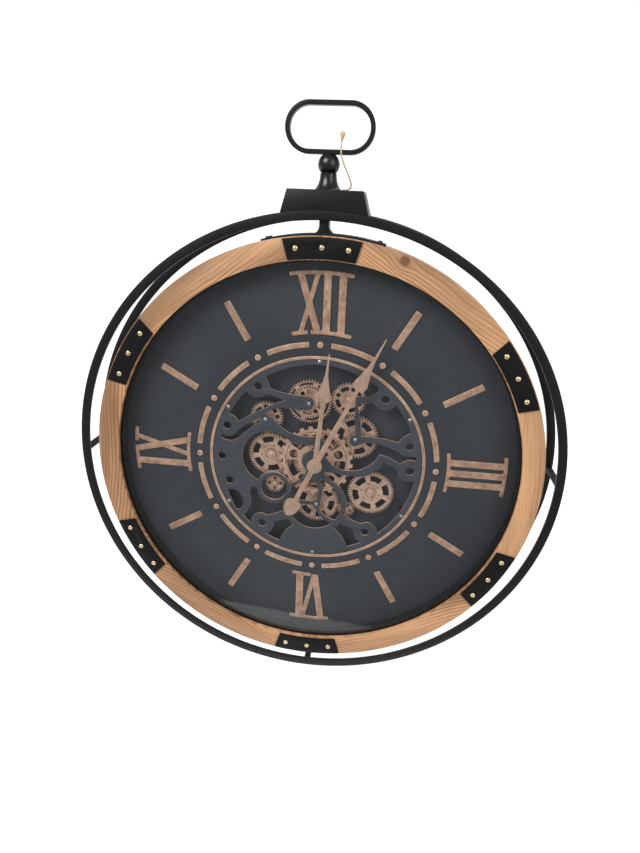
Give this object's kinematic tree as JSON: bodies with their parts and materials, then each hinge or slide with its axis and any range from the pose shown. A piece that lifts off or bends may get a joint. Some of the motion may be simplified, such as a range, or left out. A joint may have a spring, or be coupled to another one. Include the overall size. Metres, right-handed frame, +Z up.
{
  "type": "skeleton wall clock",
  "caption": "Pocket-watch shaped skeleton wall clock: wooden bezel in a double black hoop frame with crown and loop, roman numerals, open plate over meshing gear wheels.",
  "frame": {"origin": "centre of the hanging hole on the wall plane", "axes": "+X to the right seen from the front, +Y from the dial into the wall, +Z up"},
  "size_m": [0.7, 0.0854, 0.8289],
  "materials": {
    "frame_black": "satin black powder coat",
    "finial_black": "glossy black",
    "loop_brown": "dark brown satin",
    "bare_steel": "bright zinc",
    "rim_black": "satin black",
    "back_board": "dark stained hardboard",
    "honey_wood": "oiled satin",
    "rivet_brass": "pale satin",
    "clear_glass": "clear polished",
    "dial_slate": "slate grey, rubbed edges",
    "dial_bronze": "antique rose bronze",
    "wheel_rose": "satin rose gold",
    "hand_rose": "polished rose gold",
    "movement_plastic": "matte black",
    "cell_jacket": "gloss film",
    "jute": "twisted twine"
  },
  "bodies": {
    "case_frame": {"back_screws": "bare_steel", "base_plate": "dial_slate", "case_back": "back_board", "case_drum": "frame_black", "case_saddle": "frame_black", "chapter_ring": "dial_bronze", "crown_block": "frame_black", "crown_bolt": "bare_steel", "crown_finial": "finial_black", "dial_nut": "rivet_brass", "dial_plate": "dial_slate", "drive_unit": "movement_plastic", "front_glass": "clear_glass", "front_hoop": "frame_black", "gear_studs": "bare_steel", "glass_rim": "rim_black", "handle_loop": "loop_brown", "hanger_post": "frame_black", "hoop_struts": "frame_black", "hour_bars": "dial_bronze", "joint_plates": "frame_black", "joint_rivets": "rivet_brass", "minute_arcs": "dial_bronze", "minute_studs": "dial_bronze", "movement_cells": "cell_jacket", "movement_housing": "movement_plastic", "numeral_iii": "dial_bronze", "numeral_ix": "dial_bronze", "numeral_vi": "dial_bronze", "numeral_xii": "dial_bronze", "plate_pillars": "bare_steel", "plate_screws": "bare_steel", "rear_hoop": "frame_black", "saddle_screws": "frame_black", "skeleton_plate": "dial_slate", "tag_knot": "jute", "tag_string": "jute", "wall_hanger": "bare_steel", "wood_segment_1": "honey_wood", "wood_segment_2": "honey_wood", "wood_segment_3": "honey_wood", "wood_segment_4": "honey_wood", "wood_segment_5": "honey_wood", "wood_segment_6": "honey_wood"},
    "centre_train": {"centre_wheel": "wheel_rose", "centre_ring": "wheel_rose"},
    "minute": {"minute_hand": "hand_rose", "hand_nut": "rivet_brass"},
    "hour": {"hour_hand": "hand_rose"},
    "knob": {"setting_knob": "movement_plastic"},
    "drive": {"drive_pinion": "movement_plastic"},
    "left_wheel_body": {"left_wheel": "wheel_rose"},
    "left_pinion_body": {"left_pinion": "wheel_rose"},
    "upper_left_wheel_body": {"upper_left_wheel": "wheel_rose"},
    "east_wheel_body": {"east_wheel": "wheel_rose"},
    "upper_right_wheel_body": {"upper_right_wheel": "wheel_rose"},
    "upper_wheel_body": {"upper_wheel": "wheel_rose"},
    "lower_wheel_body": {"lower_wheel": "wheel_rose"},
    "right_pinion_body": {"right_pinion": "wheel_rose"},
    "right_wheel_body": {"right_wheel": "wheel_rose"}
  },
  "joints": [
    {"name": "centre_wheel_spin", "type": "hinge", "parent": "case_frame", "child": "centre_train", "pos_m": [0, -0.042, -0.362], "axis": [0, 1, 0], "continuous": true},
    {"name": "left_wheel_spin", "type": "hinge", "parent": "case_frame", "child": "left_wheel_body", "pos_m": [-0.06909, -0.042, -0.35862], "axis": [0, 1, 0], "continuous": true},
    {"name": "left_pinion_spin", "type": "hinge", "parent": "case_frame", "child": "left_pinion_body", "pos_m": [-0.06238, -0.042, -0.4064], "axis": [0, 1, 0], "continuous": true},
    {"name": "upper_left_wheel_spin", "type": "hinge", "parent": "case_frame", "child": "upper_left_wheel_body", "pos_m": [-0.07612, -0.042, -0.30135], "axis": [0, 1, 0], "continuous": true},
    {"name": "east_wheel_spin", "type": "hinge", "parent": "case_frame", "child": "east_wheel_body", "pos_m": [0.05577, -0.042, -0.32222], "axis": [0, 1, 0], "continuous": true},
    {"name": "upper_right_wheel_spin", "type": "hinge", "parent": "case_frame", "child": "upper_right_wheel_body", "pos_m": [0.04288, -0.042, -0.26598], "axis": [0, 1, 0], "continuous": true},
    {"name": "upper_wheel_spin", "type": "hinge", "parent": "case_frame", "child": "upper_wheel_body", "pos_m": [-0.0137, -0.042, -0.27303], "axis": [0, 1, 0], "continuous": true},
    {"name": "lower_wheel_spin", "type": "hinge", "parent": "case_frame", "child": "lower_wheel_body", "pos_m": [0.00311, -0.042, -0.43043], "axis": [0, 1, 0], "continuous": true},
    {"name": "right_pinion_spin", "type": "hinge", "parent": "case_frame", "child": "right_pinion_body", "pos_m": [0.04774, -0.042, -0.43951], "axis": [0, 1, 0], "continuous": true},
    {"name": "right_wheel_spin", "type": "hinge", "parent": "case_frame", "child": "right_wheel_body", "pos_m": [0.08314, -0.042, -0.40874], "axis": [0, 1, 0], "continuous": true},
    {"name": "drive_pinion_spin", "type": "hinge", "parent": "case_frame", "child": "drive", "pos_m": [0, -0.036, -0.31995], "axis": [0, 1, 0], "continuous": true},
    {"name": "minute_hand_spin", "type": "hinge", "parent": "case_frame", "child": "minute", "pos_m": [0, -0.071, -0.362], "axis": [0, 1, 0], "continuous": true},
    {"name": "hour_hand_spin", "type": "hinge", "parent": "case_frame", "child": "hour", "pos_m": [0, -0.067, -0.362], "axis": [0, 1, 0], "continuous": true},
    {"name": "setting_knob_spin", "type": "hinge", "parent": "case_frame", "child": "knob", "pos_m": [0.015, -0.011, -0.348], "axis": [0, 1, 0], "continuous": true}
  ],
  "couplings": [
    {"joint": "left_wheel_spin", "follows": "centre_wheel_spin", "ratio": -1.0612},
    {"joint": "left_pinion_spin", "follows": "centre_wheel_spin", "ratio": 2.4762},
    {"joint": "upper_left_wheel_spin", "follows": "centre_wheel_spin", "ratio": 1.4857},
    {"joint": "east_wheel_spin", "follows": "centre_wheel_spin", "ratio": -1.0833},
    {"joint": "upper_right_wheel_spin", "follows": "centre_wheel_spin", "ratio": 1.4444},
    {"joint": "upper_wheel_spin", "follows": "centre_wheel_spin", "ratio": -1.1064},
    {"joint": "lower_wheel_spin", "follows": "centre_wheel_spin", "ratio": -1.0833},
    {"joint": "right_pinion_spin", "follows": "centre_wheel_spin", "ratio": 2.8889},
    {"joint": "right_wheel_spin", "follows": "centre_wheel_spin", "ratio": -1.04},
    {"joint": "drive_pinion_spin", "follows": "centre_wheel_spin", "ratio": -5},
    {"joint": "hour_hand_spin", "follows": "minute_hand_spin", "ratio": 0.083333},
    {"joint": "setting_knob_spin", "follows": "minute_hand_spin", "ratio": -0.33333}
  ]
}
